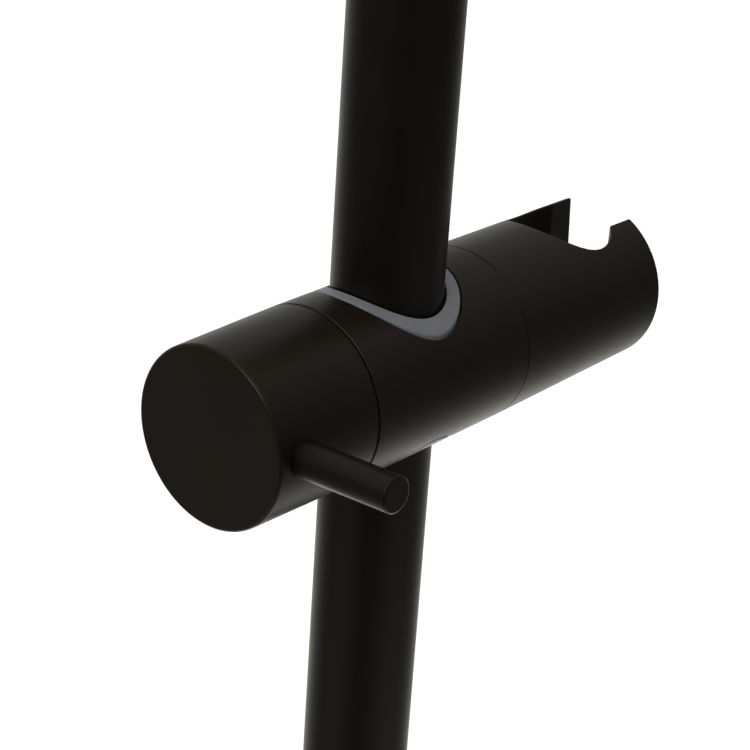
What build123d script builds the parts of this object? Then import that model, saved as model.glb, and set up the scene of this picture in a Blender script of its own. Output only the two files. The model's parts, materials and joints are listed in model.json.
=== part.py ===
"""Sliding hand-shower holder on a length of round shower riser, in millimetres.

The origin is the centre of the riser's lower end. +Z runs up the riser, +X along the slider's
barrel towards the handset holder, and -Y towards the person in the shower.
The barrel is three pieces on one axis: knob, body and holder.
"""

import os
from math import cos, radians, sin, sqrt, tan

from build123d import *

# Riser tube
riser_od = 22.0
riser_wall = 1.0
riser_length = 450.0
riser_edge_chamfer = 0.4
slider_height = 225.0

# Barrel of the slider, and where its three pieces end along X
barrel_od = 36.4
knob_draft = 1.0
holder_draft = 0.6
body_left_reach = 21.7
body_right_reach = 23.6
knob_length = 25.8
holder_length = 46.85
knob_seam = 0.4
holder_seam = 0.15
knob_seam_chamfer = 0.2
holder_seam_chamfer = 0.1

# Grey liner in the body's cross hole, with its two glide rings
liner_wall = 2.7
liner_gap = 0.3
liner_clearance = 0.5
liner_edge_break = 0.15
body_hole_round = 0.2
ring_section_height = 2.0
ring_section_depth = 1.6
ring_land = 1.0
ring_slit = 1.5
ring_play = 0.1

# Clearances
running_fit = 0.06
seat_fit = 0.03
stack_play = 0.05

# Guide bush: flange in the body's left face, neck that carries the knob
flange_thickness = 2.5
neck_od = 16.0
guide_screw_d = 2.5
guide_screw_head_d = 4.6
guide_screw_margin = 0.2
guide_screw_spread = 30.0
guide_hole_wall = 0.4
countersink_angle = 82.0
screw_tip_play = 0.3
screw_slot_width = 0.7
screw_slot_depth = 0.6
seal_section = 1.6
seal_in_hub = 3.1
seal_groove_width = 2.0
snap_wire = 1.1
snap_from_neck_end = 3.2
snap_groove_width = 1.3
snap_opening = 24.0

# Knob
knob_wall = 2.4
knob_end_wall = 3.0
knob_rim_round = 0.8
hub_od = 24.0
hub_recess = 1.9
knob_rib_count = 6
knob_rib_thickness = 1.6
knob_rib_recess = 4.0

# Drive nut and lever
nut_across_flats = 13.6
nut_length = 6.1
thrust_washer_thickness = 0.4
lever_d = 7.0
lever_reach = 38.9
lever_seat_depth = 0.6
lever_seat_margin = 0.3
lever_end_round = 0.45
lever_rise = 2.4
lever_stud_d = 4.0
lever_stud_play = 0.9
lever_boss_d = 9.0

# Clamp spindle, buffer and brake pad
spindle_thread_d = 8.0
spindle_key_step = 0.7
spindle_key_flat_depth = 1.0
spindle_end_play = 1.4
spindle_end_chamfer = 0.8
thread_clearance = 0.3
neck_thread_length = 5.2
clamp_travel = 0.75
pad_d = 12.0
pad_back_play = 0.25
pad_nose_thickness = 4.1
buffer_thickness = 1.5
liner_window_margin = 0.3

# Pivot between body and holder
insert_wall = 1.5
insert_end_wall = 0.9
pivot_screw_d = 5.0
pivot_screw_tip_play = 0.6
pivot_head_d = 8.5
pivot_head_height = 3.0
pivot_head_round = 0.4
pivot_hex_flats = 4.0
pivot_hex_depth = 1.8
sleeve_wall = 1.05
pivot_washer_thickness = 1.0
pivot_washer_od = 11.0
disc_spring_thickness = 0.35
disc_spring_rise = 0.17
disc_spring_count = 2
glide_washer_thickness = 0.7
friction_disc_bore_play = 0.7
friction_disc_rim = 0.9
friction_recess_depth = 1.2

# Tilt stop: a peg of the holder in an arc groove of the body
tilt_each_way = 60.0
stop_from_rim = 2.4
stop_peg_d = 2.0
stop_peg_length = 1.7
stop_groove_depth = 2.1
stop_groove_play = 0.15
stop_end_play = 1.0

# Holder: tapered socket for the handset, slot for the hose, pocket towards the body
socket_from_end = 14.7
socket_towards_user = 1.2
socket_mid_d = 19.2
socket_half_taper = 4.5
socket_lean = 3.2
slot_width = 14.9
socket_edge_round = 0.4
pocket_from_peg = 1.8
pocket_boss_wall = 3.8
pocket_floor_wall = 1.9
pocket_rib_count = 6
pocket_rib_thickness = 1.8
screw_recess_play = 0.3
screw_recess_depth = 8.3

# Places and radii worked out from the sizes above
riser_r = riser_od / 2
barrel_r = barrel_od / 2
liner_bore_r = riser_r + liner_clearance
liner_r = liner_bore_r + liner_wall
body_hole_r = liner_r + liner_gap
pad_window_r = pad_d / 2 + liner_window_margin
ring_from_axis = pad_window_r + ring_land + ring_play + ring_section_height / 2
body_left = -body_left_reach
body_right = body_right_reach
knob_inner = body_left - knob_seam
knob_outer = knob_inner - knob_length
holder_inner = body_right + holder_seam
holder_outer = holder_inner + holder_length

hub_right = knob_inner - hub_recess
knob_floor = knob_outer + knob_end_wall
nut_left = knob_floor + stack_play
nut_right = nut_left + nut_length
lever_x = (nut_left + nut_right) / 2
lever_seat = barrel_r - lever_seat_depth
thread_bore_r = spindle_thread_d / 2 + thread_clearance
lever_stud_reach = spindle_thread_d / 2 + lever_stud_play

flange_right = body_left + flange_thickness
neck_r = neck_od / 2
neck_end = nut_right + thrust_washer_thickness + 3 * stack_play
seal_x = hub_right - seal_in_hub
snap_x = neck_end + snap_from_neck_end
hub_bore_r = neck_r + running_fit
guide_screw_circle = neck_r + guide_screw_margin + guide_screw_head_d / 2
flange_r = guide_screw_circle + guide_screw_head_d / 2 + guide_screw_margin
guide_hole_r = guide_screw_d / 2 + seat_fit
guide_hole_nearest = guide_screw_circle * cos(radians(guide_screw_spread)) - guide_hole_r
guide_hole_end = -sqrt(body_hole_r**2 - guide_hole_nearest**2) - guide_hole_wall

pad_back = flange_right + clamp_travel + pad_back_play
pad_bore_r = pad_d / 2 + running_fit
buffer_front = -riser_r - running_fit - pad_nose_thickness
key_r = spindle_thread_d / 2 + spindle_key_step
key_flats = 2 * (key_r - spindle_key_flat_depth)
key_bore_end = neck_end + neck_thread_length
spindle_tip = buffer_front - buffer_thickness
spindle_shoulder = key_bore_end + clamp_travel + pad_back_play
spindle_end = nut_left + spindle_end_play

stop_circle = barrel_r - stop_from_rim
stop_groove_r = stop_peg_d / 2 + stop_groove_play
friction_floor = body_right - friction_recess_depth
friction_disc_r = stop_circle - stop_groove_r - friction_disc_rim - seat_fit
friction_disc_thickness = friction_recess_depth + holder_seam - stack_play
insert_r = pivot_screw_d / 2 + insert_wall
insert_end = body_hole_r + insert_end_wall
pivot_screw_tip = insert_end + pivot_screw_tip_play
sleeve_bore_r = pivot_screw_d / 2 + stack_play
sleeve_r = sleeve_bore_r + sleeve_wall

socket_x = holder_outer - socket_from_end
screw_recess_floor = socket_x - socket_mid_d / 2 - screw_recess_depth
screw_recess_r = pivot_washer_od / 2 + screw_recess_play
pocket_r = stop_circle - stop_peg_d / 2 - pocket_from_peg
pocket_boss_r = sleeve_r + running_fit + pocket_boss_wall
pocket_depth = screw_recess_floor - holder_inner - pocket_floor_wall
sleeve_end = screw_recess_floor + glide_washer_thickness + disc_spring_count * (
    disc_spring_thickness + disc_spring_rise
) + 4 * stack_play
pivot_head_seat = sleeve_end + pivot_washer_thickness
barrel_axis = Axis((0, 0, slider_height), (1, 0, 0))

# Half-plane through the barrel's axis: sketch X is X, sketch Y is the distance from the axis
barrel_section = Plane(origin=(0, 0, slider_height), x_dir=(1, 0, 0), z_dir=(0, -1, 0))

# The socket's own plane square to its axis, and the plane through its axis
lean = radians(socket_lean)
socket_centre = (socket_x, -socket_towards_user, slider_height)
socket_up = (0, sin(lean), cos(lean))
socket_plane = Plane(origin=socket_centre, x_dir=(1, 0, 0), z_dir=socket_up)
socket_section = Plane(origin=socket_centre, x_dir=(1, 0, 0), z_dir=(0, -cos(lean), sin(lean)))

# The lever's angle in a plane square to the barrel, counted from +Y towards +Z
lever_turn = 180 - lever_rise
nut_turn = lever_turn - 30


def across(x):
    """Plane square to the barrel at x. Its sketch X is +Y and its sketch Y is +Z."""
    return Plane(origin=(x, 0, slider_height), x_dir=(0, 1, 0), z_dir=(1, 0, 0))


def facing_left(x):
    """Plane square to the barrel at x that looks towards the knob, so holes run towards +X."""
    return Plane(origin=(x, 0, slider_height), x_dir=(0, 1, 0), z_dir=(-1, 0, 0))


def along_lever(distance):
    """Plane square to the lever, at a distance from the barrel's axis."""
    rise = radians(lever_rise)
    outward = (0, -cos(rise), sin(rise))
    origin = (lever_x, distance * outward[1], slider_height + distance * outward[2])
    return Plane(origin=origin, x_dir=(1, 0, 0), z_dir=outward)


def step(x_from, x_to, radius, inner=0.0, mode=Mode.ADD):
    """One step of a turned profile, drawn in the sketch at hand on barrel_section."""
    with Locations(((x_from + x_to) / 2, (radius + inner) / 2)):
        Rectangle(abs(x_to - x_from), radius - inner, mode=mode)


def drafted(x_from, x_to, draft):
    """Barrel that narrows by a moulding draft from x_from to x_to, drawn as half a turned profile."""
    end_r = barrel_r - abs(x_to - x_from) * tan(radians(draft))
    Polygon((x_from, 0), (x_from, barrel_r), (x_to, end_r), (x_to, 0), align=None)


def rims(part, radius):
    """The part's full circles of one radius, sorted along the barrel."""
    circles = part.edges().filter_by(GeomType.CIRCLE)
    return circles.filter_by(lambda edge: abs(edge.radius - radius) < 1e-6).sort_by(Axis.X)


# Riser tube, cut square, with the outer edges broken
with BuildPart() as riser_tube:
    with BuildSketch(Plane.XY):
        Circle(riser_r)
        Circle(riser_r - riser_wall, mode=Mode.SUBTRACT)
    extrude(amount=riser_length)
    chamfer(rims(riser_tube, riser_r), riser_edge_chamfer)


def glide_ring(height):
    """Split ring that runs on the riser, centred at a height."""
    with BuildPart() as ring:
        with BuildSketch(Plane.XY.offset(height - ring_section_height / 2)):
            Circle(riser_r + running_fit + ring_section_depth)
            Circle(riser_r + running_fit, mode=Mode.SUBTRACT)
            with Locations((riser_r + ring_section_depth / 2, 0)):
                Rectangle(2 * ring_section_depth, ring_slit, mode=Mode.SUBTRACT)
        extrude(amount=ring_section_height)
    return ring


upper_glide_ring = glide_ring(slider_height + ring_from_axis)
lower_glide_ring = glide_ring(slider_height - ring_from_axis)

# Liner: a bush whose two ends follow the barrel
with BuildPart() as liner:
    with BuildSketch(across(body_left)):
        Circle(barrel_r)
    extrude(amount=body_left_reach + body_right_reach)
    with BuildSketch(Plane.XY.offset(slider_height - barrel_r)):
        Circle(liner_r)
    extrude(amount=barrel_od, mode=Mode.INTERSECT)
    with BuildSketch(Plane.XY.offset(slider_height - barrel_r)):
        Circle(liner_bore_r)
    extrude(amount=barrel_od, mode=Mode.SUBTRACT)
    chamfer(liner.edges().filter_by(GeomType.BSPLINE), liner_edge_break)
    for side in (1, -1):
        groove_height = ring_section_height + 2 * ring_play
        groove_low = slider_height + side * ring_from_axis - groove_height / 2
        with BuildSketch(Plane.XY.offset(groove_low)):
            Circle(riser_r + running_fit + ring_section_depth + ring_play)
        extrude(amount=groove_height, mode=Mode.SUBTRACT)
    with BuildSketch(across(-riser_r / 2)):
        Circle(pad_window_r)
    extrude(amount=riser_r / 2 - body_left_reach, mode=Mode.SUBTRACT)

# Centre line of the stop groove, in a plane square to the barrel
half_arc = tilt_each_way + stop_end_play
stop_path = CenterArc((0, 0), stop_circle, 90 - half_arc, 2 * half_arc)

# Body shell: the middle barrel, bored across for the liner and along for pad, bush and pivot
with BuildPart() as body_shell:
    with BuildSketch(across(body_left)):
        Circle(barrel_r)
    extrude(amount=body_left_reach + body_right_reach)
    chamfer(rims(body_shell, barrel_r)[0], knob_seam_chamfer)
    chamfer(rims(body_shell, barrel_r)[-1], holder_seam_chamfer)
    with BuildSketch(Plane.XY.offset(slider_height - barrel_r)):
        Circle(body_hole_r)
    extrude(amount=barrel_od, mode=Mode.SUBTRACT)
    fillet(body_shell.edges().filter_by(GeomType.BSPLINE), body_hole_round)
    with BuildSketch(across(body_left)):
        Circle(flange_r + seat_fit)
    extrude(amount=flange_thickness, mode=Mode.SUBTRACT)
    with BuildSketch(across(flange_right)):
        Circle(pad_bore_r)
    extrude(amount=-riser_r - flange_right, mode=Mode.SUBTRACT)
    with BuildSketch(across(flange_right)):
        for turn in (guide_screw_spread, -guide_screw_spread):
            with PolarLocations(guide_screw_circle, 2, start_angle=turn):
                Circle(guide_hole_r)
    extrude(amount=guide_hole_end - flange_right, mode=Mode.SUBTRACT)
    with BuildSketch(across(body_right)):
        Circle(friction_disc_r + seat_fit)
    extrude(amount=-friction_recess_depth, mode=Mode.SUBTRACT)
    with BuildSketch(across(friction_floor)):
        Circle(insert_r + seat_fit)
    extrude(amount=insert_end - friction_floor, mode=Mode.SUBTRACT)
    with BuildSketch(across(body_right)):
        SlotArc(stop_path, 2 * stop_groove_r)
    extrude(amount=-stop_groove_depth, mode=Mode.SUBTRACT)

# Guide bush: flange, neck with two grooves, and a bore with flats that keep the spindle from turning
with BuildPart() as guide_bush:
    with BuildSketch(barrel_section):
        step(body_left, flange_right, flange_r)
        step(neck_end, body_left, neck_r)
        step(
            seal_x - seal_groove_width / 2,
            seal_x + seal_groove_width / 2,
            neck_r,
            neck_r - seal_section - stack_play,
            Mode.SUBTRACT,
        )
        step(
            snap_x - snap_groove_width / 2,
            snap_x + snap_groove_width / 2,
            neck_r,
            neck_r - snap_wire / 2 - ring_play,
            Mode.SUBTRACT,
        )
    revolve(axis=barrel_axis)
    with BuildSketch(across(flange_right)):
        Circle(key_r + running_fit)
        Rectangle(4 * key_r, key_flats + 2 * running_fit, mode=Mode.INTERSECT)
    extrude(amount=key_bore_end - flange_right, mode=Mode.SUBTRACT)
    with BuildSketch(across(neck_end)):
        Circle(thread_bore_r)
    extrude(amount=flange_right - neck_end, mode=Mode.SUBTRACT)
    with Locations(facing_left(body_left)):
        for turn in (guide_screw_spread, -guide_screw_spread):
            with PolarLocations(guide_screw_circle, 2, start_angle=turn):
                CounterSinkHole(
                    guide_hole_r,
                    guide_screw_head_d / 2 + seat_fit,
                    counter_sink_angle=countersink_angle,
                )

# Countersunk screws of the guide bush, each with a plain slot
with BuildPart() as guide_screws:
    top = (Align.CENTER, Align.CENTER, Align.MAX)
    head_r = guide_screw_head_d / 2
    head_height = (head_r - guide_screw_d / 2) / tan(radians(countersink_angle / 2))
    screw_length = guide_hole_end - screw_tip_play - body_left
    with Locations(facing_left(body_left)):
        for turn in (guide_screw_spread, -guide_screw_spread):
            with PolarLocations(guide_screw_circle, 2, start_angle=turn):
                Cylinder(guide_screw_d / 2, screw_length, align=top)
                Cone(guide_screw_d / 2, head_r, head_height, align=top)
                Box(screw_slot_width, guide_screw_head_d, screw_slot_depth, align=top, mode=Mode.SUBTRACT)

# Rubber ring round the neck
with BuildPart() as neck_seal:
    with BuildSketch(barrel_section):
        with Locations((seal_x, neck_r + running_fit / 2 - seal_section / 2)):
            Circle(seal_section / 2)
    revolve(axis=barrel_axis)

# Wire ring, half in the neck and half in the knob, that stops the knob from coming off
with BuildPart() as snap_ring:
    with BuildSketch(barrel_section):
        with Locations((snap_x, neck_r + running_fit / 2)):
            Circle(snap_wire / 2)
    revolve(axis=barrel_axis, revolution_arc=360 - snap_opening)

# Knob: a cap with a hub that turns on the neck, ribs, and a boss for the lever's stud
with BuildPart() as knob_shell:
    inner_r = barrel_r - knob_wall
    hub_r = hub_od / 2
    with BuildSketch(barrel_section):
        drafted(knob_inner, knob_outer, knob_draft)
    revolve(axis=barrel_axis)
    fillet(knob_shell.faces().sort_by(Axis.X)[0].edges(), knob_rim_round)
    chamfer(rims(knob_shell, barrel_r)[-1], knob_seam_chamfer)
    with BuildSketch(across(knob_inner)):
        Circle(inner_r)
    extrude(amount=knob_floor - knob_inner, mode=Mode.SUBTRACT)
    with BuildSketch(across(knob_floor)):
        Circle(hub_r)
    extrude(amount=hub_right - knob_floor)
    with BuildSketch(across(knob_floor)):
        rib_turn = lever_turn + 180 / knob_rib_count
        with PolarLocations((hub_r + inner_r) / 2, knob_rib_count, start_angle=rib_turn):
            Rectangle(inner_r - hub_r + knob_wall, knob_rib_thickness)
    extrude(amount=knob_inner - knob_rib_recess - knob_floor)
    with BuildSketch(along_lever(hub_r - knob_wall / 2)):
        Circle(lever_boss_d / 2)
    extrude(amount=inner_r - hub_r + knob_wall)
    with BuildSketch(across(hub_right)):
        Circle(hub_bore_r)
    extrude(amount=nut_right - hub_right, mode=Mode.SUBTRACT)
    with BuildSketch(across(nut_right)):
        RegularPolygon(
            nut_across_flats / 2 + seat_fit, 6, major_radius=False, rotation=nut_turn
        )
    extrude(amount=knob_floor - nut_right, mode=Mode.SUBTRACT)
    with BuildSketch(barrel_section):
        groove_r = neck_r + running_fit / 2 + snap_wire / 2 + ring_play
        step(snap_x - snap_groove_width / 2, snap_x + snap_groove_width / 2, groove_r, neck_r)
    revolve(axis=barrel_axis, mode=Mode.SUBTRACT)
    with BuildSketch(along_lever(0)):
        Circle(lever_stud_d / 2 + seat_fit)
    extrude(amount=barrel_r, mode=Mode.SUBTRACT)
    with BuildSketch(along_lever(lever_seat)):
        Circle(lever_d / 2 + lever_seat_margin)
    extrude(amount=barrel_r, mode=Mode.SUBTRACT)

# Lever: a straight round pin on a stud that crosses the knob's wall into the nut
with BuildPart() as lever_pin:
    with BuildSketch(along_lever(lever_seat)):
        Circle(lever_d / 2)
    extrude(amount=lever_reach - lever_seat)
    fillet(lever_pin.edges().sort_by(Axis.Y)[0], lever_end_round)
    with BuildSketch(along_lever(lever_stud_reach)):
        Circle(lever_stud_d / 2)
    extrude(amount=lever_seat - lever_stud_reach)

# Drive nut, turned by the knob
with BuildPart() as drive_nut:
    with BuildSketch(across(nut_left)):
        RegularPolygon(nut_across_flats / 2, 6, major_radius=False, rotation=nut_turn)
        Circle(spindle_thread_d / 2 + running_fit, mode=Mode.SUBTRACT)
    extrude(amount=nut_length)
    with BuildSketch(along_lever(0)):
        Circle(lever_stud_d / 2 + seat_fit)
    extrude(amount=nut_across_flats, mode=Mode.SUBTRACT)

with BuildPart() as thrust_washer:
    with BuildSketch(across(nut_right + stack_play)):
        Circle(neck_r)
        Circle(thread_bore_r, mode=Mode.SUBTRACT)
    extrude(amount=thrust_washer_thickness)

# Clamp spindle: threaded towards the knob, with two flats towards the pad
with BuildPart() as clamp_spindle:
    with BuildSketch(barrel_section):
        step(spindle_end, spindle_shoulder, spindle_thread_d / 2)
        step(spindle_shoulder, spindle_tip, key_r)
    revolve(axis=barrel_axis)
    chamfer(rims(clamp_spindle, spindle_thread_d / 2)[0], spindle_end_chamfer)
    with BuildSketch(across(spindle_shoulder)):
        Circle(2 * key_r)
        Rectangle(4 * key_r, key_flats, mode=Mode.SUBTRACT)
    extrude(amount=spindle_tip - spindle_shoulder, mode=Mode.SUBTRACT)

with BuildPart() as buffer_disc:
    with BuildSketch(across(spindle_tip)):
        Circle(key_r)
    extrude(amount=buffer_thickness)

# Brake pad, hollowed to the riser's radius in front and bored for the buffer behind
with BuildPart() as brake_pad:
    with BuildSketch(across(pad_back)):
        Circle(pad_d / 2)
    extrude(amount=-riser_r / 2 - pad_back)
    with BuildSketch(Plane.XY.offset(slider_height - barrel_r)):
        Circle(riser_r + running_fit)
    extrude(amount=barrel_od, mode=Mode.SUBTRACT)
    with BuildSketch(across(pad_back)):
        Circle(key_r + running_fit)
    extrude(amount=buffer_front - pad_back, mode=Mode.SUBTRACT)

# Pivot stack, from the body outwards
with BuildPart() as pivot_insert:
    with BuildSketch(across(friction_floor)):
        Circle(insert_r)
        Circle(pivot_screw_d / 2 + seat_fit, mode=Mode.SUBTRACT)
    extrude(amount=insert_end - friction_floor)

with BuildPart() as friction_disc:
    with BuildSketch(across(friction_floor)):
        Circle(friction_disc_r)
        Circle(sleeve_r + friction_disc_bore_play, mode=Mode.SUBTRACT)
    extrude(amount=friction_disc_thickness)

with BuildPart() as pivot_sleeve:
    with BuildSketch(across(friction_floor)):
        Circle(sleeve_r)
        Circle(sleeve_bore_r, mode=Mode.SUBTRACT)
    extrude(amount=sleeve_end - friction_floor)

with BuildPart() as glide_washer:
    with BuildSketch(across(screw_recess_floor + stack_play)):
        Circle(pivot_washer_od / 2)
        Circle(sleeve_r + running_fit, mode=Mode.SUBTRACT)
    extrude(amount=glide_washer_thickness)

with BuildPart() as disc_springs:
    spring_bore_r = sleeve_r + running_fit
    spring_r = pivot_washer_od / 2
    spring_depth = disc_spring_thickness + disc_spring_rise
    spring_start = screw_recess_floor + glide_washer_thickness + 2 * stack_play
    for number in range(disc_spring_count):
        near = spring_start + number * (spring_depth + stack_play)
        bore_shift, rim_shift = (disc_spring_rise, 0) if number % 2 else (0, disc_spring_rise)
        with BuildSketch(barrel_section):
            with BuildLine():
                Polyline(
                    (near + bore_shift, spring_bore_r),
                    (near + bore_shift + disc_spring_thickness, spring_bore_r),
                    (near + rim_shift + disc_spring_thickness, spring_r),
                    (near + rim_shift, spring_r),
                    close=True,
                )
            make_face()
        revolve(axis=barrel_axis)

with BuildPart() as pivot_washer:
    with BuildSketch(across(sleeve_end)):
        Circle(pivot_washer_od / 2)
        Circle(sleeve_bore_r, mode=Mode.SUBTRACT)
    extrude(amount=pivot_washer_thickness)

with BuildPart() as pivot_screw:
    with BuildSketch(across(pivot_head_seat)):
        Circle(pivot_head_d / 2)
    extrude(amount=pivot_head_height)
    fillet(rims(pivot_screw, pivot_head_d / 2)[-1], pivot_head_round)
    with BuildSketch(across(pivot_screw_tip)):
        Circle(pivot_screw_d / 2)
    extrude(amount=pivot_head_seat - pivot_screw_tip)
    with BuildSketch(across(pivot_head_seat + pivot_head_height)):
        RegularPolygon(pivot_hex_flats / 2, 6, major_radius=False)
    extrude(amount=-pivot_hex_depth, mode=Mode.SUBTRACT)

# Holder: barrel with a leaning tapered socket and a slot for the hose out through its end
with BuildPart() as holder_shell:
    socket_reach = barrel_od
    socket_spread = socket_reach * tan(radians(socket_half_taper))
    with BuildSketch(barrel_section):
        drafted(holder_inner, holder_outer, holder_draft)
    revolve(axis=barrel_axis)
    chamfer(rims(holder_shell, barrel_r)[0], holder_seam_chamfer)
    with BuildSketch(socket_section):
        with BuildLine():
            Polyline(
                (0, -socket_reach),
                (socket_mid_d / 2 - socket_spread, -socket_reach),
                (socket_mid_d / 2 + socket_spread, socket_reach),
                (0, socket_reach),
                close=True,
            )
        make_face()
    revolve(axis=Axis(socket_centre, socket_up), mode=Mode.SUBTRACT)
    with BuildSketch(socket_plane.offset(-socket_reach)):
        with Locations((barrel_r, 0)):
            Rectangle(barrel_od, slot_width)
    extrude(amount=2 * socket_reach, mode=Mode.SUBTRACT)
    horn_edges = holder_shell.faces().sort_by(Axis.X)[-2:].edges()
    socket_rims = holder_shell.edges().filter_by(GeomType.BSPLINE)
    fillet(horn_edges + socket_rims, socket_edge_round)
    with BuildSketch(across(holder_inner)):
        Circle(pocket_r)
        Circle(pocket_boss_r, mode=Mode.SUBTRACT)
        with PolarLocations((pocket_r + pocket_boss_r) / 2, pocket_rib_count):
            Rectangle(pocket_r, pocket_rib_thickness, mode=Mode.SUBTRACT)
    extrude(amount=pocket_depth, mode=Mode.SUBTRACT)
    with BuildSketch(across(holder_inner)):
        Circle(sleeve_r + running_fit)
    extrude(amount=socket_x - holder_inner, mode=Mode.SUBTRACT)
    with BuildSketch(across(screw_recess_floor)):
        Circle(screw_recess_r)
    extrude(amount=socket_x - screw_recess_floor, mode=Mode.SUBTRACT)
    with BuildSketch(across(holder_inner)):
        with Locations((0, stop_circle)):
            Circle(stop_peg_d / 2)
    extrude(amount=-stop_peg_length)

pieces = {
    "riser_tube": riser_tube,
    "upper_glide_ring": upper_glide_ring,
    "lower_glide_ring": lower_glide_ring,
    "body_shell": body_shell,
    "liner": liner,
    "guide_bush": guide_bush,
    "guide_screws": guide_screws,
    "neck_seal": neck_seal,
    "pivot_insert": pivot_insert,
    "pivot_sleeve": pivot_sleeve,
    "pivot_screw": pivot_screw,
    "pivot_washer": pivot_washer,
    "disc_springs": disc_springs,
    "friction_disc": friction_disc,
    "knob_shell": knob_shell,
    "lever_pin": lever_pin,
    "drive_nut": drive_nut,
    "thrust_washer": thrust_washer,
    "snap_ring": snap_ring,
    "clamp_spindle": clamp_spindle,
    "buffer_disc": buffer_disc,
    "brake_pad": brake_pad,
    "holder_shell": holder_shell,
    "glide_washer": glide_washer,
}

os.makedirs("parts", exist_ok=True)
for name, piece in pieces.items():
    piece.part.label = name
    export_step(piece.part, f"parts/{name}.step")
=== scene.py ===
"""Finished surfaces of a sliding hand shower holder on its riser tube, and the studio around it."""

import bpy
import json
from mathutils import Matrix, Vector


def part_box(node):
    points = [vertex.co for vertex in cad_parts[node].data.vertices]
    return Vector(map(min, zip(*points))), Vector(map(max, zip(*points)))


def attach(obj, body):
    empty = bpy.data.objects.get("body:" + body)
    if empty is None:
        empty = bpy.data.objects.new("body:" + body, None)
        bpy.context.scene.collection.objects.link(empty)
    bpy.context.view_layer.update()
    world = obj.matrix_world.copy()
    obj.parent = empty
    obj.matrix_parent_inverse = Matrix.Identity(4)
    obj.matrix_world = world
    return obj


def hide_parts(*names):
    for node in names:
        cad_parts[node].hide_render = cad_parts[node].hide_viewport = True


bl_info = {
    "name": "Shower riser slider",
    "version": (1, 0, 0),
    "blender": (4, 5, 0),
    "location": "View3D > Sidebar > Riser slider",
    "description": "Dresses a sliding hand shower holder and its riser tube, and sets up the studio",
    "category": "Object",
}

import json
from collections import defaultdict
from math import cos, radians, sin
from typing import NamedTuple

import bmesh
import bpy
from bpy.props import FloatProperty, FloatVectorProperty, PointerProperty
from mathutils import Matrix, Vector

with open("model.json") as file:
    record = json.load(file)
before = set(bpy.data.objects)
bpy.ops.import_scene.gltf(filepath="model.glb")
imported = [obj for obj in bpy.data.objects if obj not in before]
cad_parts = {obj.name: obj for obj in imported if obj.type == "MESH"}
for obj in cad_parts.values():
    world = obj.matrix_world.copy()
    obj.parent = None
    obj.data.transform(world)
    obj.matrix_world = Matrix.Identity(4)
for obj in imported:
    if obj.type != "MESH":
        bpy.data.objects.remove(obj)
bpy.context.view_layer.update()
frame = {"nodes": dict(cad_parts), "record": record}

MM = 0.001
WHITE = (1.0, 1.0, 1.0, 1.0)

# The colour sockets of the Mix node, which share their names with its number sockets
COLOUR_MIX_FACTOR, COLOUR_MIX_A, COLOUR_MIX_B, COLOUR_MIX_RESULT = 0, 6, 7, 2

# Noise keeps to the middle of its range from 0 to 1
NOISE_LOW, NOISE_HIGH = 0.3, 0.7

# How far the coating's colour and roughness vary, and how narrow the step to a rubbed rim is
COAT_TINT = 0.15
COAT_SPREAD = 0.04
RUB_STEP = 0.25 * MM

# Width and depth of the mouldings' grain, as shares of the coating's, and width of a lathe's lines
MOULDING_WIDTH = 0.6
MOULDING_DEPTH = 1.2
TOOL_LINE = 0.12 * MM

# Corners of facets meet within a millionth of a metre, and shade as one where they turn less than this
PLACE_DIGITS = 6
SEAM_TURN = radians(16)

# Share of the pitch that a thread's groove is deep, and that its cutter stands proud of the rod
THREAD_DEPTH = 0.61
CUTTER_PROUD = 0.08

# A circle of three points is the cutter's 60 degree wedge, whose height is this many times its radius
WEDGE_POINTS = 3
WEDGE_HEIGHT = 1.5

TURN_SIDES = 32
SHARP_ANGLE = radians(30)
MERGE_DISTANCE = 1e-7
THREAD_INPUTS = {
    "Solid": "Geometry", "Radius": "Float", "Pitch": "Float", "Start": "Float", "End": "Float",
    "Height": "Float", "Span across": "Float", "Span upwards": "Float", "Rods across": "Int",
    "Rods upwards": "Int", "Finish": "Material",
}

# Soft lights round the slider: azimuth from the user's side, elevation, sharpness, brightness
STUDIO_LIGHTS = {
    "ceiling": (206, 82, 1.7, 0.485),
    "backdrop": (138, -26, 5.5, 1.312),
    "table_right": (116, -58, 14.0, 1.95),
    "table_front": (15, -60, 14.0, 0.776),
    "table_left": (-104, -46, 14.0, 0.352),
    "side_panel": (-84, 34, 60.0, 3.6),
}

# Width of the camera's sensor in millimetres, as the lens is given, and the nearest that it sees
SENSOR_WIDTH = 36.0
NEAR_CLIP = 10 * MM


class Field:
    """A node socket that takes part in Python expressions. Each operator adds its Math node."""

    def __init__(self, nodes, socket):
        self.nodes = nodes
        self.socket = socket

    def math(self, operation, *others):
        return self.nodes.add("ShaderNodeMath", [self, *others], operation=operation)

    def __add__(self, other):
        return self.math("ADD", other)

    def __sub__(self, other):
        return self.math("SUBTRACT", other)

    def __rsub__(self, other):
        return self.nodes.add("ShaderNodeMath", [other, self], operation="SUBTRACT")

    def __mul__(self, other):
        return self.math("MULTIPLY", other)

    def __truediv__(self, other):
        return self.math("DIVIDE", other)

    __radd__ = __add__


class Nodes:
    """A node tree that is built from expressions."""

    def __init__(self, tree):
        self.tree = tree
        tree.nodes.clear()

    def add(self, kind, inputs=(), output=0, **settings):
        """Adds one node: its settings first, then its sockets by place or by name."""
        node = self.tree.nodes.new(kind)
        for name, value in settings.items():
            setattr(node, name, value)
        pairs = inputs.items() if isinstance(inputs, dict) else enumerate(inputs)
        for key, value in pairs:
            if isinstance(value, Field):
                self.tree.links.new(value.socket, node.inputs[key])
            else:
                node.inputs[key].default_value = value
        return Field(self, node.outputs[output]) if node.outputs else None

    def mix(self, factor, first, second):
        """Colour between two colours."""
        inputs = {COLOUR_MIX_FACTOR: factor, COLOUR_MIX_A: first, COLOUR_MIX_B: second}
        return self.add("ShaderNodeMix", inputs, output=COLOUR_MIX_RESULT, data_type="RGBA")


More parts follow.
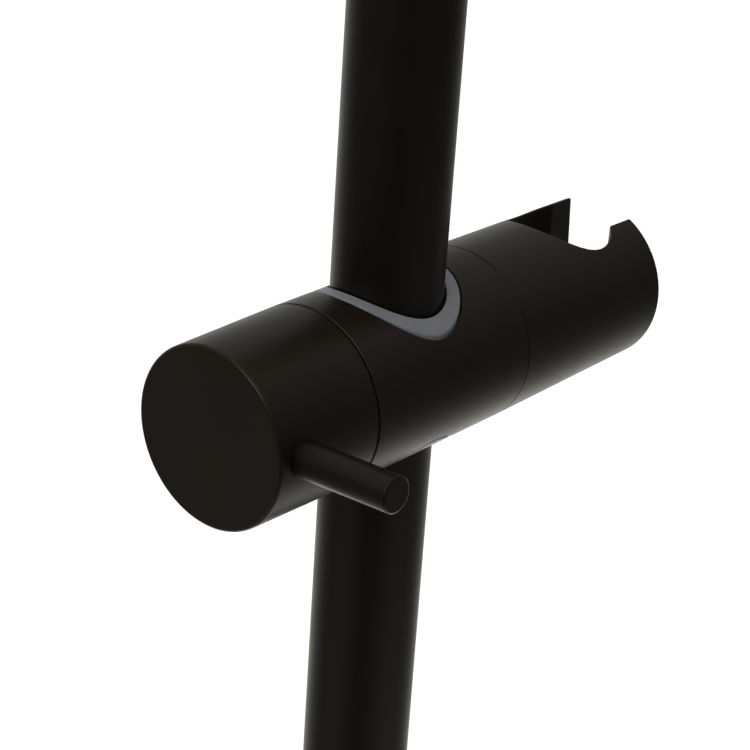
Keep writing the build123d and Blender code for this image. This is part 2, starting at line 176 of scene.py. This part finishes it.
class Look(NamedTuple):
    """How a finish varies: fine grain of some relief, over wider clouds that lighten and darken it."""

    grain: float
    relief: float
    clouds: float
    tint: float
    smoothest: float
    roughest: float
    grain_detail: float = 3.0
    clouds_detail: float = 4.0
    grain_share: float = 0.5


class Finish(Nodes):
    """One procedural material: a Principled shader and the nodes that feed it."""

    def __init__(self, name, **constants):
        self.material = bpy.data.materials.new(name)
        self.material.use_nodes = True
        super().__init__(self.material.node_tree)
        shader = self.add("ShaderNodeBsdfPrincipled", output="BSDF")
        self.add("ShaderNodeOutputMaterial", {"Surface": shader})
        inputs = shader.socket.node.inputs
        self.sockets = {socket.name.lower().replace(" ", "_"): socket for socket in inputs}
        for name, value in constants.items():
            self.sockets[name].default_value = value
        self.place = self.add("ShaderNodeTexCoord", output="Object")

    def noise(self, size, detail=2.0, place=None, stretch=(1, 1, 1)):
        """Noise from 0 to 1 whose features are about one size across, in metres."""
        place = self.add("ShaderNodeMapping", {"Vector": place or self.place, "Scale": stretch})
        return self.add("ShaderNodeTexNoise", {"Vector": place, "Scale": 1 / size, "Detail": detail})

    def span(self, value, low, high, to_low=0.0, to_high=1.0):
        """Maps low..high to to_low..to_high and holds it there."""
        return self.add("ShaderNodeMapRange", [value, low, high, to_low, to_high])

    def spread(self, noise, to_low=0.0, to_high=1.0):
        """Maps the range that noise keeps to."""
        return self.span(noise, NOISE_LOW, NOISE_HIGH, to_low, to_high)

    def tint(self, factor, colour, depth):
        """A colour that goes from darker to lighter by a share of itself."""
        return self.mix(factor, shade(colour, 1 - depth), shade(colour, 1 + depth))

    def bump(self, height, depth):
        """Normal from a height of 0 to 1 that stands for a real depth in metres."""
        return self.add("ShaderNodeBump", {"Strength": 1.0, "Distance": depth, "Height": height})

    def from_axis(self, height):
        """Place counted from the barrel's axis at a height: along it, across it, and up."""
        x, y, z = (self.add("ShaderNodeSeparateXYZ", [self.place], output=axis) for axis in "XYZ")
        return x, y, z - height

    def rubbed_past(self, reach, corner, settings):
        """How much smoother the surface is where its reach passes a rim's corner."""
        return self.span(reach, corner, corner + RUB_STEP) * settings.rubbed_edge

    def feed(self, **fields):
        """Links fields to the shader's sockets and gives the material."""
        for name, field in fields.items():
            self.tree.links.new(field.socket, self.sockets[name])
        return self.material

    def feed_look(self, look, colour, rubbed=None):
        """Feeds the shader with a look, rubbed smoother where that is given."""
        grain = self.noise(look.grain, look.grain_detail)
        clouds = self.noise(look.clouds, look.clouds_detail)
        rough = self.spread(blend(clouds, grain, look.grain_share), look.smoothest, look.roughest)
        return self.feed(
            base_color=self.tint(self.spread(clouds), colour, look.tint),
            roughness=rough - rubbed if rubbed else rough,
            normal=self.bump(grain, look.relief),
        )


def blend(first, second, share):
    """Two fields as one, with the second's share."""
    return first * (1 - share) + second * share


def distance(across, upward):
    """Distance of a place from the origin of two fields."""
    return (across * across + upward * upward).math("SQRT")


def direction_from(azimuth, elevation):
    """Direction towards a place, with the azimuth counted from the user's side towards +X."""
    return Vector((sin(azimuth) * cos(elevation), -cos(azimuth) * cos(elevation), sin(elevation)))


def slider_height():
    """Height of the barrel's axis."""
    low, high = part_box("body_shell")
    return (low.z + high.z) / 2


def shade(colour, factor):
    """A colour made lighter or darker, with its alpha."""
    return (*(channel * factor for channel in colour), 1.0)


def black_finish(name, settings, gleam):
    """A black finish without its texture."""
    return Finish(name, specular_ior_level=settings.coat_specular, specular_tint=shade(gleam, 1))


def coated_metal(settings):
    """Black coating on drawn metal: fine grain, faint clouds, and traces that run up the tube."""
    finish = black_finish("coated_metal", settings, settings.coat_gleam)
    grain = finish.noise(settings.coat_grain, detail=3.0)
    clouds = finish.noise(size=9 * MM, detail=4.0)
    traces = finish.noise(size=1.2 * MM, stretch=(1, 1, 0.02))
    rough = blend(clouds, blend(grain, traces, share=0.5), share=0.5)
    low, high = settings.coat_roughness - COAT_SPREAD, settings.coat_roughness + COAT_SPREAD
    return finish.feed(
        base_color=finish.tint(finish.spread(clouds), settings.coat_colour, COAT_TINT),
        roughness=finish.spread(rough, low, high),
        normal=finish.bump(blend(grain, traces, share=0.2), settings.coat_grain_depth),
    )


def coated_lever(settings, height):
    """The same coating on the lever, rubbed smoother at the round of its end."""
    finish = black_finish("coated_lever", settings, settings.coat_gleam)
    x, y, z = finish.from_axis(height)
    low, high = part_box("lever_pin")
    rise = settings.lever_rise
    along = z * sin(rise) - y * cos(rise)
    side = y * sin(rise) + z * cos(rise)
    radius = distance(x - (low.x + high.x) / 2, side)
    corner = settings.lever_reach + (high.x - low.x) / 2 - settings.lever_end_round
    look = Look(
        grain=settings.coat_grain, relief=settings.coat_grain_depth, clouds=7 * MM, tint=COAT_TINT,
        smoothest=settings.coat_roughness - COAT_SPREAD, roughest=settings.coat_roughness + COAT_SPREAD,
    )
    rubbed = finish.rubbed_past(along + radius, corner, settings)
    return finish.feed_look(look, settings.coat_colour, rubbed)


def moulded_black(settings, height):
    """Fine matt black moulding of knob, body and holder, rubbed smoother at the knob's rim."""
    finish = black_finish("moulded_black", settings, settings.moulding_gleam)
    x, y, z = finish.from_axis(height)
    corner = settings.knob_face_radius - settings.knob_rim_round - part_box("knob_shell")[0].x
    look = Look(
        grain=MOULDING_WIDTH * settings.coat_grain, relief=MOULDING_DEPTH * settings.coat_grain_depth,
        clouds=14 * MM, tint=0.12, grain_detail=4.0,
        smoothest=settings.coat_roughness - 0.03, roughest=settings.coat_roughness + 0.05,
    )
    rubbed = finish.rubbed_past(distance(y, z) - x, corner, settings)
    return finish.feed_look(look, settings.moulding_colour, rubbed)


def grey_plastic(settings):
    """Grey plastic liner, smooth from the mould."""
    look = Look(
        grain=0.25 * MM, relief=0.006 * MM, clouds=6 * MM, tint=0.05,
        smoothest=0.45, roughest=0.55, clouds_detail=3.0, grain_share=1.0,
    )
    return Finish("grey_plastic", specular_ior_level=0.4).feed_look(look, settings.liner_colour)


def pale_plastic(settings):
    """Natural acetal of the rings and washers that rub."""
    look = Look(
        grain=0.2 * MM, relief=0.004 * MM, clouds=5 * MM, tint=0.04,
        smoothest=0.36, roughest=0.48, clouds_detail=3.0, grain_share=0.6,
    )
    return Finish("pale_plastic", specular_ior_level=0.45).feed_look(look, settings.acetal_colour)


def turned_metal(name, colour, height):
    """Metal from the lathe: tool lines round the barrel's axis, and a faint stain."""
    finish = Finish(name, metallic=1.0)
    x, y, z = finish.from_axis(height)
    turned = finish.add("ShaderNodeCombineXYZ", [x, distance(y, z), 0.0])
    lines = finish.noise(TOOL_LINE, detail=3.0, place=turned)
    stain = finish.noise(size=4 * MM, detail=4.0)
    return finish.feed(
        base_color=finish.tint(finish.spread(blend(stain, lines, share=0.3)), colour, depth=0.08),
        roughness=finish.spread(blend(lines, stain, share=0.4), to_low=0.20, to_high=0.34),
        normal=finish.bump(lines, depth=0.004 * MM),
    )


def rubber(settings):
    """Moulded seal rubber with a faint bloom."""
    finish = Finish("seal_rubber", specular_ior_level=0.3)
    grain = finish.noise(size=0.15 * MM, detail=4.0)
    bloom = finish.span(finish.noise(size=2 * MM, detail=5.0), low=0.45, high=0.75)
    colour = settings.rubber_colour
    rough = blend(bloom, grain, share=0.5)
    return finish.feed(
        base_color=finish.mix(bloom, shade(colour, 1), shade(colour, factor=1.8)),
        roughness=finish.span(rough, low=0.2, high=0.8, to_low=0.55, to_high=0.8),
        normal=finish.bump(grain, depth=0.01 * MM),
    )


class SliderSettings(bpy.types.PropertyGroup):
    """Colours and finishes of the slider and its riser."""

    coat_colour: FloatVectorProperty(
        name="Coating colour", description="Colour of the matt black coating on riser and lever",
        subtype="COLOR", size=3, min=0, max=1, default=(0.0044, 0.0032, 0.0026),
    )
    coat_gleam: FloatVectorProperty(
        name="Coating gleam", description="Tint of what the coating reflects",
        subtype="COLOR", size=3, min=0, max=1, default=(1.0, 0.97, 0.93),
    )
    coat_roughness: FloatProperty(
        name="Coating roughness", description="How matt the coating is", default=0.42, min=0, max=1,
    )
    coat_specular: FloatProperty(
        name="Coating reflection", description="Specular level of the coating",
        default=0.5, min=0, max=1,
    )
    coat_grain: FloatProperty(
        name="Coating grain", description="Width of the coating's grain",
        default=0.35 * MM, unit="LENGTH",
    )
    coat_grain_depth: FloatProperty(
        name="Coating grain depth", description="Depth of the coating's grain",
        default=0.004 * MM, unit="LENGTH",
    )
    moulding_colour: FloatVectorProperty(
        name="Moulding colour", description="Colour of the black knob, body and holder",
        subtype="COLOR", size=3, min=0, max=1, default=(0.0140, 0.0085, 0.0050),
    )
    moulding_gleam: FloatVectorProperty(
        name="Moulding gleam", description="Tint of what the black mouldings reflect",
        subtype="COLOR", size=3, min=0, max=1, default=(1.0, 0.97, 0.92),
    )
    rubbed_edge: FloatProperty(
        name="Rubbed edge", description="How much smoother the rubbed rims are",
        default=0.12, min=0, max=0.4,
    )
    knob_face_radius: FloatProperty(
        name="Knob face radius", description="Radius of the knob at its face",
        default=17.75 * MM, unit="LENGTH",
    )
    knob_rim_round: FloatProperty(
        name="Knob rim round", description="Radius of the round on the knob's rim",
        default=0.8 * MM, unit="LENGTH",
    )
    lever_reach: FloatProperty(
        name="Lever reach", description="How far the lever's end is from the barrel's axis",
        default=38.9 * MM, unit="LENGTH",
    )
    lever_end_round: FloatProperty(
        name="Lever end round", description="Radius of the round on the lever's end",
        default=0.45 * MM, unit="LENGTH",
    )
    lever_rise: FloatProperty(
        name="Lever rise", description="How far the lever points up",
        subtype="ANGLE", default=radians(2.4),
    )
    liner_colour: FloatVectorProperty(
        name="Liner colour", description="Colour of the grey liner",
        subtype="COLOR", size=3, min=0, max=1, default=(0.44, 0.48, 0.555),
    )
    acetal_colour: FloatVectorProperty(
        name="Acetal colour", description="Colour of the pale plastic rings and washers",
        subtype="COLOR", size=3, min=0, max=1, default=(0.78, 0.76, 0.70),
    )
    brass_colour: FloatVectorProperty(
        name="Brass colour", description="Colour of the bare brass pieces",
        subtype="COLOR", size=3, min=0, max=1, default=(0.72, 0.53, 0.27),
    )
    steel_colour: FloatVectorProperty(
        name="Steel colour", description="Colour of the stainless screws, washer, springs and wire ring",
        subtype="COLOR", size=3, min=0, max=1, default=(0.58, 0.57, 0.55),
    )
    rubber_colour: FloatVectorProperty(
        name="Rubber colour", description="Colour of the seal and the buffer",
        subtype="COLOR", size=3, min=0, max=1, default=(0.018, 0.018, 0.019),
    )


class ThreadSettings(bpy.types.PropertyGroup):
    """Threads of the clamp spindle and the screws."""

    spindle_radius: FloatProperty(
        name="Spindle radius", description="Outer radius of the clamp spindle's thread",
        default=4.0 * MM, unit="LENGTH",
    )
    spindle_pitch: FloatProperty(
        name="Spindle pitch", description="Pitch of the clamp spindle",
        default=1.25 * MM, unit="LENGTH",
    )
    spindle_length: FloatProperty(
        name="Spindle thread", description="Length of the clamp spindle's thread",
        default=11.5 * MM, unit="LENGTH",
    )
    pivot_radius: FloatProperty(
        name="Pivot radius", description="Outer radius of the pivot screw's thread",
        default=2.5 * MM, unit="LENGTH",
    )
    pivot_pitch: FloatProperty(
        name="Pivot pitch", description="Pitch of the pivot screw",
        default=0.8 * MM, unit="LENGTH",
    )
    pivot_length: FloatProperty(
        name="Pivot thread", description="Length of the pivot screw's thread",
        default=9.0 * MM, unit="LENGTH",
    )
    guide_radius: FloatProperty(
        name="Guide radius", description="Outer radius of the guide screws' thread",
        default=1.25 * MM, unit="LENGTH",
    )
    guide_pitch: FloatProperty(
        name="Guide pitch", description="Pitch of the guide screws",
        default=0.45 * MM, unit="LENGTH",
    )
    guide_length: FloatProperty(
        name="Guide thread", description="Length of the guide screws' thread",
        default=6.6 * MM, unit="LENGTH",
    )
    guide_head: FloatProperty(
        name="Guide head", description="Diameter of the guide screws' heads",
        default=4.6 * MM, unit="LENGTH",
    )


class StageSettings(bpy.types.PropertyGroup):
    """Floor, lights and camera."""

    azimuth: FloatProperty(
        name="Azimuth", description="Camera's turn round the riser, from the user's side",
        subtype="ANGLE", default=radians(-51.08),
    )
    elevation: FloatProperty(
        name="Elevation", description="Camera's height above the horizon",
        subtype="ANGLE", default=radians(24.50),
    )
    roll: FloatProperty(
        name="Roll", description="Camera's turn about its own axis",
        subtype="ANGLE", default=radians(3.88),
    )
    distance: FloatProperty(
        name="Distance", description="Camera's distance from the slider",
        default=416.25 * MM, unit="LENGTH",
    )
    across: FloatProperty(
        name="Across", description="Target's shift to the camera's right",
        default=-1.15 * MM, unit="LENGTH",
    )
    upward: FloatProperty(
        name="Upward", description="Target's shift upwards in the picture",
        default=-1.95 * MM, unit="LENGTH",
    )
    lens: FloatProperty(
        name="Lens", description="Focal length on a 36 mm sensor",
        subtype="DISTANCE_CAMERA", default=102.7,
    )
    light_colour: FloatVectorProperty(
        name="Light colour", description="Colour of the soft lights",
        subtype="COLOR", size=3, min=0, max=1, default=(1.0, 0.97, 0.90),
    )
    floor_reach: FloatProperty(
        name="Floor reach", description="Half the floor's width", default=3.0, unit="LENGTH",
    )
    floor_colour: FloatVectorProperty(
        name="Floor colour", description="Colour of the floor",
        subtype="COLOR", size=3, min=0, max=1, default=(0.9, 0.9, 0.9),
    )
    floor_glow: FloatProperty(
        name="Floor glow", description="Light that the floor adds to what it takes", default=0.9, min=0,
    )


def dress(slot, material):
    """Gives a material to every solid of the frame that has a material slot."""
    for subpart in frame["record"]["subparts"]:
        if subpart["material_slot"] == slot:
            solid = frame["nodes"][subpart["node"]]
            solid.data.materials.clear()
            solid.data.materials.append(material)


def take_place(piece, node):
    """Puts a piece in a solid's place: on the same body, with the solid hidden."""
    record = frame["record"]
    body = next(body for body, nodes in record["behaviour"]["bodies"].items() if node in nodes)
    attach(piece, body)
    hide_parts(node)


def smooth_seams(node):
    """Replaces a solid by itself with shading that runs on where one face turns into the next."""
    mesh = frame["nodes"][node].data.copy()
    meetings = defaultdict(list)
    for facet in mesh.polygons:
        for corner in facet.loop_indices:
            place = mesh.vertices[mesh.loops[corner].vertex_index].co
            key = tuple(round(value, PLACE_DIGITS) for value in place)
            normal = mesh.corner_normals[corner].vector.copy()
            meetings[key].append((corner, normal, facet.area))
    normals = [None] * len(mesh.loops)
    for meeting in meetings.values():
        for corner, normal, _ in meeting:
            alike = (other * area for _, other, area in meeting if normal.dot(other) > cos(SEAM_TURN))
            normals[corner] = sum(alike, Vector()).normalized()
    mesh.normals_split_custom_set(normals)
    piece = bpy.data.objects.new(f"{node}_surface", mesh)
    bpy.context.scene.collection.objects.link(piece)
    take_place(piece, node)


class RISERSLIDER_OT_dress_tube(bpy.types.Operator):
    """Coat the riser tube and the lever"""

    bl_idname = "riserslider.dress_tube"
    bl_label = "Riser tube and lever"

    def execute(self, context):
        settings = context.scene.riser_slider
        dress("coated_tube", coated_metal(settings))
        dress("coated_lever", coated_lever(settings, slider_height()))
        smooth_seams("riser_tube")
        smooth_seams("lever_pin")
        return {"FINISHED"}


class RISERSLIDER_OT_dress_barrel(bpy.types.Operator):
    """Finish the black mouldings: knob, body and holder"""

    bl_idname = "riserslider.dress_barrel"
    bl_label = "Knob, body and holder"

    def execute(self, context):
        dress("black_barrel", moulded_black(context.scene.riser_slider, slider_height()))
        for shell in ("knob_shell", "body_shell", "holder_shell"):
            smooth_seams(shell)
        return {"FINISHED"}


class RISERSLIDER_OT_dress_plastics(bpy.types.Operator):
    """Finish the grey liner and the pale rings, washers and pad"""

    bl_idname = "riserslider.dress_plastics"
    bl_label = "Liner, rings and pad"

    def execute(self, context):
        settings = context.scene.riser_slider
        dress("grey_liner", grey_plastic(settings))
        smooth_seams("liner")
        dress("pale_plastic", pale_plastic(settings))
        return {"FINISHED"}


class RISERSLIDER_OT_dress_metals(bpy.types.Operator):
    """Finish the bare brass and steel pieces inside"""

    bl_idname = "riserslider.dress_metals"
    bl_label = "Brass and steel pieces"

    def execute(self, context):
        settings = context.scene.riser_slider
        for name, colour in (("bare_brass", settings.brass_colour), ("bare_steel", settings.steel_colour)):
            dress(name, turned_metal(name, colour, slider_height()))
        return {"FINISHED"}


class RISERSLIDER_OT_dress_rubbers(bpy.types.Operator):
    """Finish the seal and the buffer"""

    bl_idname = "riserslider.dress_rubbers"
    bl_label = "Seal and buffer"

    def execute(self, context):
        dress("seal_rubber", rubber(context.scene.riser_slider))
        return {"FINISHED"}


def thread_tree():
    """Node tree that cuts helical grooves into rods along X: one, or one at each corner of a rectangle."""
    tree = bpy.data.node_groups.new("thread", "GeometryNodeTree")
    for name, kind in THREAD_INPUTS.items():
        tree.interface.new_socket(name=name, in_out="INPUT", socket_type=f"NodeSocket{kind}")
    tree.interface.new_socket(name="Threaded", in_out="OUTPUT", socket_type="NodeSocketGeometry")
    nodes = Nodes(tree)
    given = {name: nodes.add("NodeGroupInput", output=name) for name in THREAD_INPUTS}

    depth = given["Pitch"] * THREAD_DEPTH
    wedge_radius = (depth + given["Pitch"] * CUTTER_PROUD) / WEDGE_HEIGHT
    wedge = nodes.add("GeometryNodeCurvePrimitiveCircle", {
        "Resolution": WEDGE_POINTS, "Radius": wedge_radius,
    }, mode="RADIUS")

    length = given["End"] - given["Start"]
    path_radius = given["Radius"] - depth + wedge_radius
    path = nodes.add("GeometryNodeCurveSpiral", {
        "Resolution": TURN_SIDES, "Rotations": length / given["Pitch"],
        "Start Radius": path_radius, "End Radius": path_radius, "Height": length,
    })
    path = nodes.add("GeometryNodeSetCurveNormal", [path], mode="Z_UP")
    groove = nodes.add("GeometryNodeCurveToMesh", {
        "Curve": path, "Profile Curve": wedge, "Fill Caps": True,
    })

    # The grooves are laid out upright, then turned from Z to X
    corners = nodes.add("GeometryNodeMeshGrid", {
        "Size X": given["Span upwards"], "Size Y": given["Span across"],
        "Vertices X": given["Rods upwards"], "Vertices Y": given["Rods across"],
    })
    grooves = nodes.add("GeometryNodeInstanceOnPoints", {"Points": corners, "Instance": groove})
    grooves = nodes.add("GeometryNodeRealizeInstances", [grooves])
    place = nodes.add("ShaderNodeCombineXYZ", [given["Start"], 0.0, given["Height"]])
    grooves = nodes.add("GeometryNodeTransform", {
        "Geometry": grooves, "Translation": place, "Rotation": (0, radians(90), 0),
    })
    threaded = nodes.add("GeometryNodeMeshBoolean", {
        "Mesh 1": given["Solid"], "Mesh 2": grooves,
    }, operation="DIFFERENCE", solver="MANIFOLD")
    threaded = nodes.add("GeometryNodeRealizeInstances", [threaded])
    threaded = nodes.add("GeometryNodeSetMaterial", {
        "Geometry": threaded, "Material": given["Finish"],
    })
    nodes.add("NodeGroupOutput", [threaded])
    return tree


def merged_copy(node):
    """A new object with the frame's solid as one closed mesh, without its material."""
    mesh = frame["nodes"][node].data.copy()
    mesh.materials.clear()
    shape = bmesh.new()
    shape.from_mesh(mesh)
    bmesh.ops.remove_doubles(shape, verts=shape.verts, dist=MERGE_DISTANCE)
    shape.to_mesh(mesh)
    shape.free()
    piece = bpy.data.objects.new(f"{node}_threaded", mesh)
    bpy.context.scene.collection.objects.link(piece)
    return piece


class RISERSLIDER_OT_cut_threads(bpy.types.Operator):
    """Cut the threads of the clamp spindle, the pivot screw and the guide screws"""

    bl_idname = "riserslider.cut_threads"
    bl_label = "Threads"

    def execute(self, context):
        sizes = context.scene.riser_threads
        tree = thread_tree()
        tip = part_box("clamp_spindle")[0].x
        self.thread(tree, "clamp_spindle", {
            "Radius": sizes.spindle_radius, "Pitch": sizes.spindle_pitch,
            "Start": tip - sizes.spindle_pitch, "End": tip + sizes.spindle_length,
        })
        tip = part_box("pivot_screw")[0].x
        self.thread(tree, "pivot_screw", {
            "Radius": sizes.pivot_radius, "Pitch": sizes.pivot_pitch,
            "Start": tip - sizes.pivot_pitch, "End": tip + sizes.pivot_length,
        })
        low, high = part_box("guide_screws")
        self.thread(tree, "guide_screws", {
            "Radius": sizes.guide_radius, "Pitch": sizes.guide_pitch,
            "Start": high.x - sizes.guide_length, "End": high.x + sizes.guide_pitch,
            "Span across": high.y - low.y - sizes.guide_head, "Rods across": 2,
            "Span upwards": high.z - low.z - sizes.guide_head, "Rods upwards": 2,
        })
        return {"FINISHED"}

    def thread(self, tree, node, inputs):
        """Replaces a solid by its threaded copy, which is a plain mesh again before it joins the frame."""
        piece = merged_copy(node)
        metal = frame["nodes"][node].data.materials[0]
        modifier = piece.modifiers.new("thread", "NODES")
        modifier.node_group = tree
        identifiers = {item.name: item.identifier for item in tree.interface.items_tree}
        single = {"Rods across": 1, "Rods upwards": 1, "Height": slider_height(), "Finish": metal}
        for name, value in {**single, **inputs}.items():
            modifier[identifiers[name]] = value
        graph = bpy.context.evaluated_depsgraph_get()
        mesh = bpy.data.meshes.new_from_object(piece.evaluated_get(graph), depsgraph=graph)
        piece.modifiers.remove(modifier)
        piece.data = mesh
        mesh.materials.clear()
        mesh.materials.append(metal)
        mesh.shade_smooth()
        mesh.set_sharp_from_angle(angle=SHARP_ANGLE)
        take_place(piece, node)


class RISERSLIDER_OT_stage(bpy.types.Operator):
    """Set up the floor, the lights and the camera"""

    bl_idname = "riserslider.stage"
    bl_label = "Set up the stage"

    def execute(self, context):
        settings = context.scene.riser_stage
        scene = context.scene
        scene.view_settings.view_transform = "Standard"
        scene.world = self.light_studio(settings)
        self.lay_floor(scene, settings)
        self.place_camera(scene, settings)
        return {"FINISHED"}

    def light_studio(self, settings):
        """World of a few wide soft lights. The camera itself sees plain white behind them."""
        world = bpy.data.worlds.new("studio")
        world.use_nodes = True
        nodes = Nodes(world.node_tree)
        direction = nodes.add("ShaderNodeTexCoord", output="Generated")
        glow = 0.0
        for azimuth, elevation, sharpness, brightness in STUDIO_LIGHTS.values():
            towards = direction_from(radians(azimuth), radians(elevation))
            facing = nodes.add(
                "ShaderNodeVectorMath", [direction, towards], output="Value", operation="DOT_PRODUCT"
            )
            glow = glow + ((facing - 1.0) * sharpness).math("EXPONENT") * brightness
        seen = nodes.add("ShaderNodeLightPath", output="Is Camera Ray")
        colour = nodes.mix(seen, shade(settings.light_colour, 1), WHITE)
        strength = glow * (1.0 - seen) + seen
        light = nodes.add("ShaderNodeBackground", {"Color": colour, "Strength": strength})
        nodes.add("ShaderNodeOutputWorld", {"Surface": light})
        return world

    def lay_floor(self, scene, settings):
        """Pale floor that takes soft shadows. The lights under it shine through."""
        mesh = bpy.data.meshes.new("floor")
        reach = settings.floor_reach
        corners = [(-reach, -reach, 0), (reach, -reach, 0), (reach, reach, 0), (-reach, reach, 0)]
        mesh.from_pydata(corners, [], [range(len(corners))])
        floor = bpy.data.objects.new("floor", mesh)
        scene.collection.objects.link(floor)
        paper = Finish("paper", roughness=0.9, emission_strength=settings.floor_glow)
        fibres = paper.noise(size=3 * MM, detail=3.0)
        pale = paper.tint(fibres, settings.floor_colour, depth=0.01)
        mesh.materials.append(paper.feed(base_color=pale, emission_color=pale))
        floor.visible_diffuse = floor.visible_glossy = floor.visible_shadow = False

    def place_camera(self, scene, settings):
        """Camera that looks at the barrel's middle, shifted in the picture and turned by its roll."""
        roll = settings.roll
        back = direction_from(settings.azimuth, settings.elevation)
        right = Vector((0, 0, 1)).cross(back).normalized()
        up = back.cross(right)
        target = right * settings.across + up * settings.upward + Vector((0, 0, slider_height()))
        turned_right = right * cos(roll) + up * sin(roll)
        turned_up = up * cos(roll) - right * sin(roll)
        camera = bpy.data.objects.new("camera", bpy.data.cameras.new("camera"))
        scene.collection.objects.link(camera)
        axes = Matrix((turned_right, turned_up, back)).transposed().to_4x4()
        camera.matrix_world = Matrix.Translation(target + back * settings.distance) @ axes
        camera.data.sensor_width = SENSOR_WIDTH
        camera.data.lens = settings.lens
        camera.data.clip_start = NEAR_CLIP
        scene.camera = camera


class RISERSLIDER_PT_panel(bpy.types.Panel):
    """Lists the steps"""

    bl_idname = "RISERSLIDER_PT_panel"
    bl_label = "Riser slider"
    bl_space_type = "VIEW_3D"
    bl_region_type = "UI"
    bl_category = "Riser slider"

    def draw(self, context):
        for step in OPERATORS:
            self.layout.operator(step.bl_idname)


OPERATORS = (
    RISERSLIDER_OT_dress_tube,
    RISERSLIDER_OT_dress_barrel,
    RISERSLIDER_OT_dress_plastics,
    RISERSLIDER_OT_dress_metals,
    RISERSLIDER_OT_dress_rubbers,
    RISERSLIDER_OT_cut_threads,
    RISERSLIDER_OT_stage,
)
SETTINGS = {"riser_slider": SliderSettings, "riser_threads": ThreadSettings, "riser_stage": StageSettings}
CLASSES = (*SETTINGS.values(), *OPERATORS, RISERSLIDER_PT_panel)


def register():
    for cls in CLASSES:
        bpy.utils.register_class(cls)
    for name, group in SETTINGS.items():
        setattr(bpy.types.Scene, name, PointerProperty(type=group))


def unregister():
    for name in SETTINGS:
        delattr(bpy.types.Scene, name)
    for cls in reversed(CLASSES):
        bpy.utils.unregister_class(cls)


def main():
    register()
    bpy.ops.riserslider.dress_tube()
    bpy.ops.riserslider.dress_barrel()
    bpy.ops.riserslider.dress_plastics()
    bpy.ops.riserslider.dress_metals()
    bpy.ops.riserslider.dress_rubbers()
    bpy.ops.riserslider.cut_threads()
    bpy.ops.riserslider.stage()


if __name__ == "__main__":
    main()
